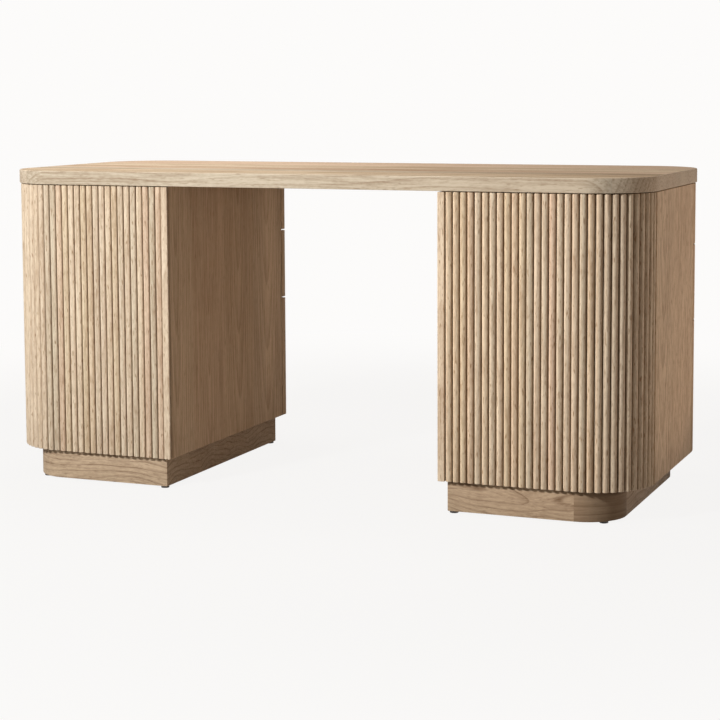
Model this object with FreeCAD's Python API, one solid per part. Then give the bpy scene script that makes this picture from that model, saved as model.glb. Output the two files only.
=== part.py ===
import FreeCAD, Part
import math
import os

# Double-pedestal desk with reeded fronts, in millimetres, +Z up. The origin is on the floor under the middle
# of the top, X runs along the desk, the reeded fronts face -Y and the drawers open towards +Y. The pedestal
# on the +X side is modelled, and the other one is its mirror image.

# Overall sizes
desk_height = 762.0
top_length = 1610.0
top_depth = 676.0
top_thickness = 33.0
top_corner_radius = 142.0
top_upper_ease = 2.0
top_lower_ease = 1.5
top_overhang = 3.0
shadow_gap = 2.0

# Pedestal case
pedestal_width = 463.0
panel_thickness = 20.0
case_panel_thickness = 18.0
corner_relief = 0.5
rear_corner_relief = 6.0

# Reeds
reed_pitch = 17.0
reed_height = 9.0
reed_flank = 3.0
reed_gap = 1.6

# Plinth and glides
plinth_height = 70.0
plinth_thickness = 20.0
plinth_front_inset = 17.0
plinth_inner_inset = 18.0
plinth_outer_inset = 56.0
plinth_rear_inset = 32.0
plinth_corner_radius = 95.0
glide_height = 5.0
glide_diameter = 20.0
glide_inset = 12.0

# Drawer fronts
front_thickness = 20.0
front_gap = 3.0
front_clearance = 2.5
upper_front_height = 146.0
middle_front_height = 180.0
notch_width = 110.0
notch_depth = 22.0
notch_corner = 10.0
finger_room = 32.0

# Drawer boxes
box_wall = 12.0
box_base = 8.0
box_lift = 8.0
box_headroom = 30.0
box_front_relief = 0.5
groove_depth = 5.0
groove_drop = 10.0
groove_clearance = 0.2

# Drawer slides, three members in each
slide_space = 12.7
slide_height = 45.0
slide_gauge = 1.5
slide_race = 0.5
slide_end_margin = 6.0
slide_lift = 45.0

# Screws that hold the top down
screw_inset = 60.0
screw_shank_diameter = 5.0
screw_head_width = 10.0
screw_head_height = 3.0
screw_grip = 20.0
screw_clearance = 0.3

# Length by which a cutting shape passes the face that it cuts
overrun = 10.0

# Heights
plinth_bottom = glide_height
body_bottom = plinth_bottom + plinth_height
top_underside = desk_height - top_thickness
body_top = top_underside - shadow_gap
case_floor = body_bottom + case_panel_thickness
case_ceiling = top_underside - case_panel_thickness

# Plan of the pedestal on the +X side
outer_face = top_length / 2 - top_overhang
inner_face = outer_face - pedestal_width
front_face = top_overhang - top_depth / 2
rear_face = top_depth / 2 - top_overhang
corner_radius = top_corner_radius - top_overhang
corner_x = outer_face - corner_radius
front_corner_y = front_face + corner_radius
rear_corner_y = rear_face - corner_radius
backing_radius = corner_radius - reed_height
backing_thickness = panel_thickness - reed_height
case_inner = inner_face + panel_thickness
case_outer = outer_face - panel_thickness
case_front = front_face + panel_thickness
case_rear = rear_face - front_thickness - front_clearance

# Plan of the plinth
plinth_inner = inner_face + plinth_inner_inset
plinth_outer = outer_face - plinth_outer_inset
plinth_front = front_face + plinth_front_inset
plinth_rear = rear_face - plinth_rear_inset

# Plan of the slides and drawer boxes
slide_front = front_corner_y + slide_end_margin
slide_length = rear_corner_y - slide_end_margin - slide_front
box_inner = case_inner + slide_space
box_outer = case_outer - slide_space
box_back = slide_front
box_front = rear_face - front_thickness
case_top_rear = box_front - finger_room


def vec(x, y, z=0.0):
    return FreeCAD.Vector(x, y, z)


def line(start, end):
    return Part.LineSegment(start, end).toShape()


def arc(centre, radius, start_angle, end_angle):
    """Arc in a level plane, with its angles in degrees from +X."""
    points = []
    for angle in (start_angle, (start_angle + end_angle) / 2, end_angle):
        turn = math.radians(angle)
        points.append(centre + vec(radius * math.cos(turn), radius * math.sin(turn)))
    return Part.Arc(*points).toShape()


def raised(edges, height):
    """Solid that stands on a closed outline of edges."""
    face = Part.Face(Part.Wire(Part.__sortEdges__(edges)))
    return face.extrude(vec(0, 0, height))


def block(x0, x1, y0, y1, z0, z1):
    return Part.makeBox(x1 - x0, y1 - y0, z1 - z0, vec(x0, y0, z0))


def rounded_plan(x0, x1, y0, y1, front_radius, rear_radius, z0, z1):
    """Prism on a rectangle whose two corners at x1 are rounded."""
    front_centre = vec(x1 - front_radius, y0 + front_radius, z0)
    rear_centre = vec(x1 - rear_radius, y1 - rear_radius, z0)
    edges = [
        line(vec(x0, y1, z0), vec(x0, y0, z0)),
        line(vec(x0, y0, z0), vec(x1 - front_radius, y0, z0)),
        line(vec(x1, y0 + front_radius, z0), vec(x1, y1 - rear_radius, z0)),
        line(vec(x1 - rear_radius, y1, z0), vec(x0, y1, z0)),
        arc(rear_centre, rear_radius, 0, 90),
    ]
    if front_radius > 0:
        edges.append(arc(front_centre, front_radius, -90, 0))
    return raised(edges, z1 - z0)


def bent_board(x_start, centre_y, outer_radius, thickness, facing, end_gap, z0, z1):
    """Board that runs flat from x_start, then a quarter turn round the outer corner, and faces -Y or +Y.

    The turn ends short of the side panel by end_gap.
    """
    inner_radius = outer_radius - thickness
    centre = vec(corner_x, centre_y, z0)
    end_angle = facing * math.degrees(math.asin(end_gap / outer_radius))
    end_turn = math.radians(end_angle)
    end_point = vec(math.cos(end_turn), math.sin(end_turn))
    outer_y = centre_y + facing * outer_radius
    inner_y = centre_y + facing * inner_radius
    edges = [
        line(vec(x_start, inner_y, z0), vec(x_start, outer_y, z0)),
        line(vec(x_start, outer_y, z0), vec(corner_x, outer_y, z0)),
        arc(centre, outer_radius, facing * 90, end_angle),
        line(centre + end_point * outer_radius, centre + end_point * inner_radius),
        arc(centre, inner_radius, end_angle, facing * 90),
        line(vec(corner_x, inner_y, z0), vec(x_start, inner_y, z0)),
    ]
    return raised(edges, z1 - z0)


def edges_at_height(shape, height):
    """Edges that lie level at the given height."""
    tolerance = top_thickness / 1000
    found = []
    for edge in shape.Edges:
        box = edge.BoundBox
        if abs(box.ZMin - height) < tolerance and abs(box.ZMax - height) < tolerance:
            found.append(edge)
    return found


def screw_places():
    """Plan positions of the two screws through one case top, at opposite corners."""
    return [
        vec(case_inner + screw_inset, case_front + screw_inset),
        vec(corner_x, case_top_rear - screw_inset),
    ]


def drilled(diameter, bottom, height):
    """Round cutters at the screw places."""
    return [Part.makeCylinder(diameter / 2, height, place + vec(0, 0, bottom)) for place in screw_places()]


def desk_top():
    """Slab with four rounded corners, eased edges and blind screw holes in its underside."""
    slab = block(-top_length / 2, top_length / 2, -top_depth / 2, top_depth / 2, top_underside, desk_height)
    upright = [edge for edge in slab.Edges if abs(edge.tangentAt(edge.FirstParameter).z) > 0.5]
    slab = slab.makeFillet(top_corner_radius, upright)
    slab = slab.makeChamfer(top_upper_ease, edges_at_height(slab, desk_height))
    slab = slab.makeChamfer(top_lower_ease, edges_at_height(slab, top_underside))
    hole = screw_shank_diameter + 2 * screw_clearance
    holes = drilled(hole, top_underside - overrun, screw_grip + screw_clearance + overrun)
    holes += [mirrored(cutter) for cutter in holes]
    return slab.cut(Part.makeCompound(holes))


def mirrored(shape):
    """The same shape on the other side of the desk."""
    return shape.mirror(vec(0, 0), vec(1, 0))


def inner_side():
    """Flat panel beside the kneehole, which also covers the end of the bent backing."""
    return block(inner_face, case_inner, front_face + reed_height, case_rear, body_bottom, body_top)


def outer_side():
    """Flat end panel between the two rounded corners."""
    return block(case_outer, outer_face, front_corner_y, rear_corner_y, body_bottom, body_top)


def reed_backing():
    """Bent board that carries the reeds."""
    return bent_board(case_inner, front_corner_y, backing_radius, backing_thickness, -1, 0,
                      body_bottom, body_top)


def reed(width):
    """One reed at the origin, with its flat back on y = 0 and its crest towards -Y."""
    half = width / 2
    bottom_left = vec(-half, 0, body_bottom)
    bottom_right = vec(half, 0, body_bottom)
    shoulder_left = vec(-half, -reed_flank, body_bottom)
    shoulder_right = vec(half, -reed_flank, body_bottom)
    crest = vec(0, -reed_height, body_bottom)
    edges = [
        line(bottom_left, bottom_right),
        line(bottom_right, shoulder_right),
        Part.Arc(shoulder_right, crest, shoulder_left).toShape(),
        line(shoulder_left, bottom_left),
    ]
    return raised(edges, body_top - body_bottom)


def reeds():
    """Reeds along the flat front, then fanned round the outer corner."""
    flat_length = corner_x - inner_face
    flat_count = round(flat_length / reed_pitch)
    flat_pitch = flat_length / flat_count
    corner_count = round(backing_radius * math.pi / 2 / reed_pitch)
    corner_step = 90 / corner_count
    corner_pitch = backing_radius * math.radians(corner_step)
    solids = []
    flat_reed = reed(flat_pitch - reed_gap)
    for index in range(flat_count):
        middle = inner_face + (index + 0.5) * flat_pitch
        solids.append(flat_reed.translated(vec(middle, front_face + reed_height)))
    corner_reed = reed(corner_pitch - reed_gap).translated(vec(corner_x, front_corner_y - backing_radius))
    for index in range(corner_count):
        turn = (index + 0.5) * corner_step
        solids.append(corner_reed.rotated(vec(corner_x, front_corner_y), vec(0, 0, 1), turn))
    return Part.makeCompound(solids)


def case_panel(rear, z0, z1):
    """Level panel across the case, with its corners inside the bent backing and the curved fronts."""
    front_radius = corner_radius - panel_thickness + corner_relief
    rear_radius = corner_radius - front_thickness + rear_corner_relief
    return rounded_plan(case_inner, case_outer, case_front, rear, front_radius, rear_radius, z0, z1)


def case_top():
    """Upper panel, which stands above the walls by the shadow gap and carries the desk top.

    It ends short of the drawer fronts, so that fingers reach behind the upper notch.
    """
    panel = case_panel(case_top_rear, case_ceiling, top_underside)
    hole = screw_shank_diameter + 2 * screw_clearance
    holes = drilled(hole, case_ceiling - overrun, case_panel_thickness + 2 * overrun)
    return panel.cut(Part.makeCompound(holes))


def hexagon_head(place):
    """Hexagonal prism under the case top."""
    corner_reach = screw_head_width / math.sqrt(3)
    corners = []
    for side in range(6):
        turn = math.radians(60 * side)
        corners.append(place + vec(corner_reach * math.cos(turn), corner_reach * math.sin(turn),
                                   case_ceiling - screw_head_height))
    return raised([line(corners[k - 1], corners[k]) for k in range(len(corners))], screw_head_height)


def top_screws():
    """Hexagon-head screws that come up through the case top into the desk top."""
    solids = []
    for place in screw_places():
        shank = Part.makeCylinder(screw_shank_diameter / 2, case_panel_thickness + screw_grip,
                                  place + vec(0, 0, case_ceiling))
        solids.append(hexagon_head(place).fuse(shank).removeSplitter())
    return Part.makeCompound(solids)


def plinth():
    """Recessed base: a band bent round the two outer corners, mitred to a straight rail by the kneehole."""
    ring = rounded_plan(plinth_inner, plinth_outer, plinth_front, plinth_rear,
                        plinth_corner_radius, plinth_corner_radius, plinth_bottom, body_bottom)
    inside_radius = plinth_corner_radius - plinth_thickness
    ring = ring.cut(rounded_plan(plinth_inner + plinth_thickness, plinth_outer - plinth_thickness,
                                 plinth_front + plinth_thickness, plinth_rear - plinth_thickness,
                                 inside_radius, inside_radius, plinth_bottom, body_bottom))
    corners = [
        vec(plinth_inner, plinth_front, plinth_bottom),
        vec(plinth_inner + plinth_thickness, plinth_front + plinth_thickness, plinth_bottom),
        vec(plinth_inner + plinth_thickness, plinth_rear - plinth_thickness, plinth_bottom),
        vec(plinth_inner, plinth_rear, plinth_bottom),
    ]
    rail = raised([line(corners[k - 1], corners[k]) for k in range(len(corners))], plinth_height)
    return Part.makeCompound([rail, ring.cut(rail)])


def glides():
    """Four round glides, two at the square corners and two in the middle of the rounded ones."""
    reach = (plinth_corner_radius - glide_inset) * math.sqrt(0.5)
    rounded_x = plinth_outer - plinth_corner_radius + reach
    places = [
        (plinth_inner + glide_inset, plinth_front + glide_inset),
        (plinth_inner + glide_inset, plinth_rear - glide_inset),
        (rounded_x, plinth_front + plinth_corner_radius - reach),
        (rounded_x, plinth_rear - plinth_corner_radius + reach),
    ]
    radius = glide_diameter / 2
    return Part.makeCompound([Part.makeCylinder(radius, glide_height, vec(x, y)) for x, y in places])


def notch(top):
    """Cutter for the finger notch in the upper edge of a drawer front, with rounded lower corners."""
    middle = (inner_face + outer_face) / 2
    half = notch_width / 2
    bottom = top - notch_depth
    cutter = block(middle - half, middle + half, box_front - overrun, rear_face + overrun,
                   bottom, top + overrun)
    lower = [edge for edge in edges_at_height(cutter, bottom) if edge.BoundBox.YLength > front_thickness]
    return cutter.makeFillet(notch_corner, lower)


def drawer_front(bottom, top):
    """Overlay front with a flat face and a curved end that rounds the rear corner of the pedestal."""
    board = bent_board(inner_face, rear_corner_y, corner_radius, front_thickness, 1, front_clearance,
                       bottom, top)
    return board.cut(notch(top))


def drawer_zone(z0, z1):
    """Space behind a drawer front, up to the inner face of its flat and curved parts."""
    rear_radius = corner_radius - front_thickness + box_front_relief
    return rounded_plan(box_inner, outer_face - front_thickness, box_back, box_front, 0, rear_radius, z0, z1)


def base_panel(bottom, side_gap, height):
    """Drawer bottom or, with a gap and a greater height, the cutter for the grooves that hold it."""
    z0 = bottom + groove_drop
    inset = box_wall - groove_depth - side_gap
    panel = block(box_inner + inset, box_outer - inset, box_back + inset, box_front, z0, z0 + height)
    return panel.common(drawer_zone(z0, z0 + height))


def drawer_walls(bottom, top):
    """Two sides and a back, grooved for the bottom panel. The outer side ends on the curved front."""
    inner = block(box_inner, box_inner + box_wall, box_back, box_front, bottom, top)
    outer = block(box_outer - box_wall, box_outer, box_back, box_front, bottom, top)
    outer = outer.common(drawer_zone(bottom, top))
    back = block(box_inner + box_wall, box_outer - box_wall, box_back, box_back + box_wall, bottom, top)
    groove = base_panel(bottom, groove_clearance, box_base + groove_clearance)
    return Part.makeCompound([wall.cut(groove) for wall in (inner, outer, back)])


def channel(wall_x, direction, web, lip, height, middle):
    """C-shaped slide member. The web and the lips' ends are distances from the case wall at wall_x."""
    gauge = math.copysign(slide_gauge, lip - web)
    half = height / 2
    section = [(web, -half), (lip, -half), (lip, slide_gauge - half), (web + gauge, slide_gauge - half),
               (web + gauge, half - slide_gauge), (lip, half - slide_gauge), (lip, half), (web, half)]
    points = [vec(wall_x + direction * out, slide_front, middle + up) for out, up in section]
    face = Part.Face(Part.makePolygon(points + points[:1]))
    return face.extrude(vec(0, slide_length, 0))


def slide_members(middle):
    """Outer, middle and inner members of a drawer's two slides, nested with a running gap."""
    step = slide_gauge + slide_race
    sizes = [
        (0, slide_space - step, slide_height),
        (step, slide_space - step, slide_height - 2 * step),
        (slide_space, 2 * step, slide_height - 4 * step),
    ]
    walls = [(case_inner, 1), (case_outer, -1)]
    members = []
    for web, lip, height in sizes:
        members.append(Part.makeCompound([channel(x, way, web, lip, height, middle) for x, way in walls]))
    return members


def front_levels():
    """Lower and upper edge of each drawer front, from the top down."""
    upper_bottom = body_top - upper_front_height
    middle_top = upper_bottom - front_gap
    middle_bottom = middle_top - middle_front_height
    lower_top = middle_bottom - front_gap
    return {
        "upper": (upper_bottom, body_top),
        "middle": (middle_bottom, middle_top),
        "lower": (body_bottom, lower_top),
    }


def pedestal():
    """All pieces of the pedestal on the +X side, by name."""
    pieces = {
        "inner_side": inner_side(),
        "outer_side": outer_side(),
        "reed_backing": reed_backing(),
        "reeds": reeds(),
        "case_top": case_top(),
        "case_bottom": case_panel(case_rear, body_bottom, case_floor),
        "top_screws": top_screws(),
        "plinth": plinth(),
        "glides": glides(),
    }
    for level, (bottom, top) in front_levels().items():
        box_bottom = bottom + case_panel_thickness + box_lift
        box_top = top - box_headroom
        outer, middle, inner = slide_members(box_bottom + slide_lift)
        pieces[level + "_drawer_front"] = drawer_front(bottom, top)
        pieces[level + "_drawer_walls"] = drawer_walls(box_bottom, box_top)
        pieces[level + "_drawer_bottom"] = base_panel(box_bottom, 0, box_base)
        pieces[level + "_slide_outer"] = outer
        pieces[level + "_slide_middle"] = middle
        pieces[level + "_slide_inner"] = inner
    return pieces


nodes = {"desk_top": desk_top()}
for piece_name, piece in pedestal().items():
    nodes["right_" + piece_name] = piece
    nodes["left_" + piece_name] = mirrored(piece)

os.makedirs("parts", exist_ok=True)
for node_name, node in nodes.items():
    node.exportStep("parts/" + node_name + ".step")
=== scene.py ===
import math

import bmesh
import bpy
import numpy as np
from mathutils import Matrix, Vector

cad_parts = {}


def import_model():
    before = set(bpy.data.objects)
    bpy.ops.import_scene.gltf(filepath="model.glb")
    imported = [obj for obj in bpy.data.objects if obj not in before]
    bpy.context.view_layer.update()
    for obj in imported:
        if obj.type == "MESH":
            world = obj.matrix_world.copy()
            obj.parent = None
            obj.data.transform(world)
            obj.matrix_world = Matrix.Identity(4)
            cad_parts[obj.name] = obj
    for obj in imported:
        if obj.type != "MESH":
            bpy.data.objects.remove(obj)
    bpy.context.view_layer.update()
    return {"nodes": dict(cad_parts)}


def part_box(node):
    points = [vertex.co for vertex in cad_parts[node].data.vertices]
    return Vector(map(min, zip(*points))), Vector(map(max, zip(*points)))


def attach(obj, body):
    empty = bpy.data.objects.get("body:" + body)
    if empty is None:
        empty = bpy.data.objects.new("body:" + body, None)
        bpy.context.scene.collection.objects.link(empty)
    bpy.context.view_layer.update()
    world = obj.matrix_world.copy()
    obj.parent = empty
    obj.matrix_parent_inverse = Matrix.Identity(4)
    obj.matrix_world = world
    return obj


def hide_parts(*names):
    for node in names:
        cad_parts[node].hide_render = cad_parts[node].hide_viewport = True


# Oak desk with two reeded drawer pedestals, in metres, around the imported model. The pieces of the
# pedestal on the +X side are worked out as arrays, and the other pedestal's are mirror images.

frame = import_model()


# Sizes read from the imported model

def span(node):
    """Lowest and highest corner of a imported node."""
    low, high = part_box(node)
    return np.array(low), np.array(high)


top_low, top_high = span("desk_top")
outer_low, outer_high = span("right_outer_side")
inner_low, inner_high = span("right_inner_side")
reed_low, reed_high = span("right_reeds")
plinth_low, plinth_high = span("right_plinth")
glide_low, glide_high = span("right_glides")

outer_face = outer_high[0]
inner_face = inner_low[0]
front_face = reed_low[1]
body_bottom = reed_low[2]
body_top = reed_high[2]
front_corner_y = outer_low[1]
rear_corner_y = outer_high[1]
corner_radius = front_corner_y - front_face
corner_x = outer_face - corner_radius
flat_length = corner_x - inner_face
overhang = top_high[0] - outer_face
reed_height = inner_low[1] - front_face
panel_thickness = inner_high[0] - inner_low[0]

# Sizes of details
reed_pitch = 0.017
reed_gap = 0.0016
reed_flank = 0.003
reed_end_round = 0.0012
reed_middle = 0.45
reed_arc_points = 19
strip_arris = 0.0018
plinth_corner_radius = 0.095
plinth_thickness = 0.020
plinth_arris = 0.0015
plinth_steps = 20
top_upper_round = 0.0026
top_lower_round = 0.0016
panel_round = 0.0010
front_round = 0.0014
front_thickness = 0.020
front_clearance = 0.0025
notch_width = 0.110
notch_depth = 0.022
notch_inner_round = 0.010
notch_outer_round = 0.003
box_wall = 0.012
box_round = 0.0020
board_corner = 0.0012
box_to_web = 0.0072
screw_radius = 0.0036
screw_edge = 0.0004
screw_dome = 0.0016
recess_radii = (0.0011, 0.0014)
recess_lifts = (0.0010, 0.0019)
screw_places = (0.1, 0.5, 0.9)
glide_inset = 0.012
glide_round = 0.0012
support = 0.0015
weld_distance = 0.000002
sharp_angle = math.radians(40)

# Painted shade in the reed grooves, painted highlights on arrises and reed shoulders, tones from 0
# to 1 and depth of the grain
painted_shade_share = 0.7
# Painted shade in the grooves fades round each corner at this rate; on the left it goes almost at
# once.
painted_shade_fade = {"right": 0.7, "left": 5.0}
# Painted highlight on both shoulders of each reed: its share, crest height and reach.
reed_painted_highlight = 0.5
reed_highlight_crest = 0.82
reed_highlight_reach = 0.14
corner_tone_spread = 0.25
top_painted_highlight = 0.35
top_tone = 0.55
rim_tone = 0.12
panel_tone = 0.45
box_tone = 0.4
grain_depth = 0.0004
grain_strength = 0.35

sides = {"right": 1, "left": -1}
levels = ("upper", "middle", "lower")
chance = np.random.default_rng(11)
veneer_reach, veneer_spread = 5, (0.01, 0.3, 1.0)
plinth_reach, plinth_spread = 4, (0.01, 0.0, 1.0)
reed_reach, reed_spread = 9, (0.01, 0.004, 1.0)
plinth_leaf_offset = 0.025
reed_leaf_offset = 0.02
slab_offset = (0.0, 0.02, 3.1)


def luck(reach, spread, shape=3):
    """Random places of boards in their trees: from zero to reach, times a spread for each axis."""
    return chance.uniform(0, reach, shape) * np.array(spread)


# Grids and boards

def grid_faces(rows, columns, closed=False):
    """Quads of a grid of points in row order; closed joins the last column to the first."""
    index = np.arange(rows * columns).reshape(rows, columns)
    if closed:
        index = np.hstack([index, index[:, :1]])
    quads = np.stack([index[:-1, :-1], index[1:, :-1], index[1:, 1:], index[:-1, 1:]], -1)
    return quads.reshape(-1, 4)


def quarter(steps):
    """Angles from zero to a right angle."""
    return np.linspace(0, math.pi / 2, steps + 1)


def half_outline(start, end, middle, run, radius, way, steps):
    """Half of a board's outline in its own plane.

    It leaves (start, middle), turns a quarter circle, follows the points of run, turns again and
    comes back to (end, middle). way is 1 for the half above the middle and -1 for the half below.
    """
    turn = quarter(steps)
    near, far = radius * (1 - np.cos(turn)), radius * (1 - np.sin(turn))
    edge = run[[0, -1], 1]
    first = np.stack([start + near, edge[0] - way * far], -1)
    last = np.stack([end - far, edge[1] - way * near], -1)
    return np.vstack([[start, middle], first, run, last, [end, middle]])


def straight_run(start, end, level, count):
    """Points spread evenly along a straight edge, ends left out."""
    along = np.linspace(start, end, count + 2)[1:-1]
    return np.stack([along, np.full(count, level)], -1)


def rectangle_halves(start, end, low, high, radius, count, steps):
    """Upper and lower half of a rectangle with four rounded corners."""
    middle = (low + high) / 2
    halves = []
    for level, way in ((high, 1), (low, -1)):
        run = straight_run(start + radius, end - radius, level, count)
        halves.append(half_outline(start, end, middle, run, radius, way, steps))
    return halves


def board(upper, lower, thickness, face_round, back_round, steps):
    """Closed board on an outline, with both arrises rounded.

    The rim is the outline carried through the thickness: a quarter circle of inset and depth at
    the face, a straight edge, and a quarter circle at the back. The face and the back are ruled
    from the upper half of the rim to the lower half. It gives plan places, depths below the face,
    painted-highlight shares for the rounded arrises and quads.
    """
    loop = np.vstack([upper, lower[-2:0:-1]])
    along = np.roll(loop, -1, 0) - np.roll(loop, 1, 0)
    inward = np.stack([along[:, 1], -along[:, 0]], -1)
    inward /= np.linalg.norm(inward, axis=1, keepdims=True)
    turn = quarter(steps)
    back_turn = turn[::-1]
    inset = np.concatenate([[face_round + support], face_round * (1 - np.sin(turn)),
                            back_round * (1 - np.sin(back_turn)), [back_round + support]])
    depth = np.concatenate([[0], face_round * (1 - np.cos(turn)),
                            thickness - back_round * (1 - np.cos(back_turn)), [thickness]])
    # Painted highlight: a share that pales the middle of each rounded arris.
    painted_highlight = np.concatenate([[0], np.sin(2 * turn), np.sin(2 * turn), [0]])
    rim = loop[None] + inset[:, None, None] * inward[None]
    rows, columns = rim.shape[:2]
    half = len(upper)
    places = [rim.reshape(-1, 2)]
    depths = [np.repeat(depth, columns)]
    painted_highlights = [np.repeat(painted_highlight, columns)]
    faces = [grid_faces(rows, columns, True)]
    count = rows * columns
    for row in (0, rows - 1):
        top = rim[row, :half]
        bottom = np.vstack([rim[row, :1], rim[row, half:][::-1], rim[row, half - 1:half]])
        places.append(np.vstack([top, bottom]))
        depths.append(np.full(2 * half, depth[row]))
        painted_highlights.append(np.zeros(2 * half))
        faces.append(grid_faces(2, half) + count)
        count += 2 * half
    return np.vstack(places), np.concatenate(depths), np.concatenate(painted_highlights), np.vstack(faces)


def turned(radii, heights, sectors):
    """Points and quads of a profile of radii and heights, turned about an upright axis."""
    angle = np.linspace(0, 2 * math.pi, sectors, endpoint=False)
    level = np.broadcast_to(heights[:, None], (len(radii), sectors))
    points = np.stack([radii[:, None] * np.cos(angle), radii[:, None] * np.sin(angle), level], -1)
    return points.reshape(-1, 3), grid_faces(len(radii), sectors, True)


def make_piece(name, points, faces, body, material, nodes, wood=None, tone=None, painted_highlight=None,
               painted_shade=None, banding=None, caps=None):
    """Mesh from whole arrays.

    wood is each point's place in its board, with z along the grain. tone is one value or one for
    each point, as are the painted highlight and the painted shade. banding is a second material
    and the faces that take it. caps are many-sided faces that close ends.
    """
    mesh = bpy.data.meshes.new(name)
    polygons = faces.tolist() + ([] if caps is None else caps.tolist())
    mesh.from_pydata(points.tolist(), [], polygons)
    mesh.materials.append(material)
    if banding:
        mesh.materials.append(banding[0])
        mesh.polygons.foreach_set("material_index", banding[1].astype(np.int32))
    for label, values in (("tone", tone), ("painted_highlight", painted_highlight), ("painted_shade", painted_shade)):
        if values is not None:
            layer = mesh.attributes.new(label, "FLOAT", "POINT")
            values = np.broadcast_to(values, len(points))
            layer.data.foreach_set("value", np.ascontiguousarray(values, np.float32))
    if wood is not None:
        layer = mesh.attributes.new("wood", "FLOAT_VECTOR", "POINT")
        layer.data.foreach_set("vector", np.ascontiguousarray(wood, np.float32).ravel())
    work = bmesh.new()
    work.from_mesh(mesh)
    bmesh.ops.remove_doubles(work, verts=work.verts, dist=weld_distance)
    bmesh.ops.dissolve_degenerate(work, dist=weld_distance, edges=work.edges)
    bmesh.ops.recalc_face_normals(work, faces=work.faces)
    work.to_mesh(mesh)
    work.free()
    mesh.shade_smooth()
    mesh.set_sharp_from_angle(angle=sharp_angle)
    piece = bpy.data.objects.new(name, mesh)
    bpy.context.scene.collection.objects.link(piece)
    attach(piece, body)
    if nodes:
        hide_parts(*nodes)


def mirrored(points, way):
    """Points of the pedestal on the +X side, or their mirror image."""
    return points * np.array([way, 1, 1])


# Shader node groups and materials

class Nodes:
    """Short way to add nodes to a tree and join their sockets."""

    def __init__(self, tree):
        self.tree = tree

    def join(self, output, target):
        self.tree.links.new(output, target)

    def add(self, kind, inputs=(), **settings):
        node = self.tree.nodes.new(kind)
        for key, value in settings.items():
            setattr(node, key, value)
        for key, value in dict(inputs).items():
            if isinstance(value, bpy.types.NodeSocket):
                self.join(value, node.inputs[key])
            else:
                node.inputs[key].default_value = value
        return node

    def math(self, operation, first, second=0.0, clamp=False):
        node = self.add("ShaderNodeMath", {0: first, 1: second}, operation=operation,
                        use_clamp=clamp)
        return node.outputs[0]

    def vector(self, operation, first, second):
        node = self.add("ShaderNodeVectorMath", {0: first, 1: second}, operation=operation)
        return node.outputs[0]

    def axes(self, place):
        return self.add("ShaderNodeSeparateXYZ", {0: place}).outputs

    def place(self, x, y, z):
        return self.add("ShaderNodeCombineXYZ", {"X": x, "Y": y, "Z": z}).outputs[0]

    def object_place(self):
        return self.add("ShaderNodeTexCoord").outputs["Object"]

    def noise(self, place, scale, detail=2.0, roughness=0.5):
        """Noise on places stretched by a scale for each axis."""
        stretched = self.vector("MULTIPLY", place, scale)
        return self.add("ShaderNodeTexNoise", {"Vector": stretched, "Scale": 1.0, "Detail": detail,
                                               "Roughness": roughness}).outputs

    def smooth(self, value, low, high, start=0.0, end=1.0):
        """Smooth step of value between low and high."""
        node = self.add("ShaderNodeMapRange", {"Value": value, "From Min": low, "From Max": high,
                                               "To Min": start, "To Max": end},
                        interpolation_type="SMOOTHSTEP")
        return node.outputs["Result"]

    def mix(self, share, first, second, blend="MIX"):
        """Mix of two colours; 0, 6 and 7 are the node's sockets for the share and the colours."""
        node = self.add("ShaderNodeMix", {0: share, 6: first, 7: second}, data_type="RGBA",
                        blend_type=blend)
        return node.outputs[2]

    def seen(self):
        """One where a ray comes from the camera, a mirror or glass, and zero elsewhere."""
        path = self.add("ShaderNodeLightPath").outputs
        bounced = self.math("MAXIMUM", path["Is Glossy Ray"], path["Is Transmission Ray"])
        return self.math("MAXIMUM", path["Is Camera Ray"], bounced)


def new_group(name, inputs, values, colors=()):
    """Empty shader node group with named inputs, and with outputs for colours and values.

    An input whose default is None is a place, one with a tuple is a colour and any other a value.
    """
    group = bpy.data.node_groups.new(name, "ShaderNodeTree")
    for label, default in inputs.items():
        kind = "Vector" if default is None else "Color" if isinstance(default, tuple) else "Float"
        socket = group.interface.new_socket(label, in_out="INPUT", socket_type="NodeSocket" + kind)
        if default is not None:
            socket.default_value = default
    for labels, kind in ((colors, "NodeSocketColor"), (values, "NodeSocketFloat")):
        for label in labels:
            group.interface.new_socket(label, in_out="OUTPUT", socket_type=kind)
    n = Nodes(group)
    return group, n, n.add("NodeGroupInput").outputs, n.add("NodeGroupOutput").inputs


grain_marks = ("Rings", "Streaks", "Clouds", "Flecks", "Mottle", "Pores")


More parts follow.
